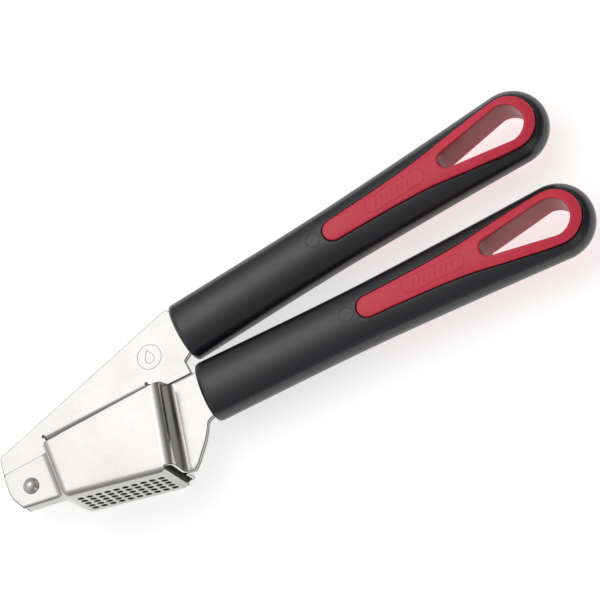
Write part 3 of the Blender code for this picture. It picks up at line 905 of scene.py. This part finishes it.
# ---------------------------------------------------------------- studio

def studio():
    """Pale floor, a sky that is the sum of soft lobes, and two rectangular lights.

    A lobe is the cosine of the angle from its axis, raised to a power: the higher
    the power, the narrower the lobe.
    """
    world = bpy.data.worlds.new("studio_air")
    bpy.context.scene.world = world
    bpy.context.scene.view_settings.view_transform = "Standard"
    world.use_nodes = True
    sky = world.node_tree
    where = place(sky, (1, 1, 1))
    glow = SKY_LOW
    for axis, power, strength in SKY_LOBES:
        facing = node(sky, "ShaderNodeVectorMath", {0: where, 1: axis},
                      operation="DOT_PRODUCT").outputs["Value"]
        above = node(sky, "ShaderNodeMath", {0: facing, 1: 0.0}, operation="MAXIMUM").outputs[0]
        lobe = node(sky, "ShaderNodeMath", {0: above, 1: power}, operation="POWER").outputs[0]
        glow = node(sky, "ShaderNodeMath", {0: lobe, 1: strength, 2: glow},
                    operation="MULTIPLY_ADD").outputs[0]
    sky.nodes["Background"].inputs["Color"].default_value = (1.0, 0.995, 0.98, 1)
    sky.links.new(glow, sky.nodes["Background"].inputs["Strength"])
    mat, tree, bsdf = finish_base("pale_floor")
    speck = noise(tree, place(tree, (1, 1, 1)), 40.0, 2.0)
    tree.links.new(ramp(tree, speck, (0.66, 0.66, 0.66), (0.69, 0.69, 0.69)),
                   bsdf.inputs["Base Color"])
    bsdf.inputs["Roughness"].default_value = 0.9
    bsdf.inputs["Emission Color"].default_value = (1, 1, 1, 1)
    bsdf.inputs["Emission Strength"].default_value = FLOOR_GLOW
    mesh = bpy.data.meshes.new("floor")
    corners = [(x * FLOOR_HALF, y * FLOOR_HALF, 0) for x, y in ((-1, -1), (1, -1), (1, 1), (-1, 1))]
    mesh.from_pydata(corners, [], [(0, 1, 2, 3)])
    mesh.materials.append(mat)
    floor = bpy.data.objects.new("floor", mesh)
    bpy.context.scene.collection.objects.link(floor)
    for name, toward, away, size, power in LAMPS:
        data = bpy.data.lights.new(name, "AREA")
        data.shape, data.size, data.size_y, data.energy = "RECTANGLE", *size, power
        lamp = bpy.data.objects.new(name, data)
        bpy.context.scene.collection.objects.link(lamp)
        aim = Vector(toward).normalized()
        lamp.location = aim * away
        lamp.rotation_euler = aim.to_track_quat("Z", "Y").to_euler()


def camera():
    """Above the press and a little beyond its sieve side, with a long lens."""
    data = bpy.data.cameras.new("camera")
    data.lens, data.sensor_width = CAMERA_LENS, CAMERA_SENSOR
    ob = bpy.data.objects.new("camera", data)
    bpy.context.scene.collection.objects.link(ob)
    azimuth, elevation, roll = (radians(v) for v in CAMERA_ANGLES)
    back = Vector((cos(elevation) * cos(azimuth), cos(elevation) * sin(azimuth),
                   sin(elevation)))
    level = Vector((-sin(azimuth), cos(azimuth), 0))
    turn = Matrix((level, back.cross(level), back)).transposed() @ Matrix.Rotation(roll, 3, "Z")
    spot = (Vector(CAMERA_AIM) + back * CAMERA_AWAY) * MM + Vector(PIVOT)
    ob.matrix_world = Matrix.Translation(spot) @ turn.to_4x4()
    bpy.context.scene.camera = ob


# the lever's steel carries painted light along its far bend
STEEL = satin_steel("satin_steel", painted_bend_light=True)
ARM_STEEL = satin_steel("satin_steel_arm", radians(18))
# cut and eased edges: partly duller cut steel, partly painted shade, made much darker than the
# sheet to stand for shadowed gaps
SHADED_RIM_STEEL = satin_steel("cut_edge_steel_and_shade", tone=(0.15, 0.148, 0.145), rough=0.38)
hopper_lever(STEEL, sheared_steel("sheared_steel"), SHADED_RIM_STEEL)
press_arm(ARM_STEEL, SHADED_RIM_STEEL)
rivet(turned_steel("turned_steel", tuple(PIVOT * (1, 1, 0))))
BLACK, RED = grained_black("grained_black"), satin_red("satin_red")
for which in ("lower", "upper"):
    grip(which, BLACK)
    inlay(which, RED)
    handle_marks(which, BLACK, RED)
badge(ARM_STEEL)
PLUNGER_STEEL = satin_steel("plunger_steel", tone=(0.55, 0.54, 0.53), rough=0.32)
plunger = frame["nodes"]["plunger"]
plunger.data.materials.clear()
plunger.data.materials.append(PLUNGER_STEEL)
studio()
camera()
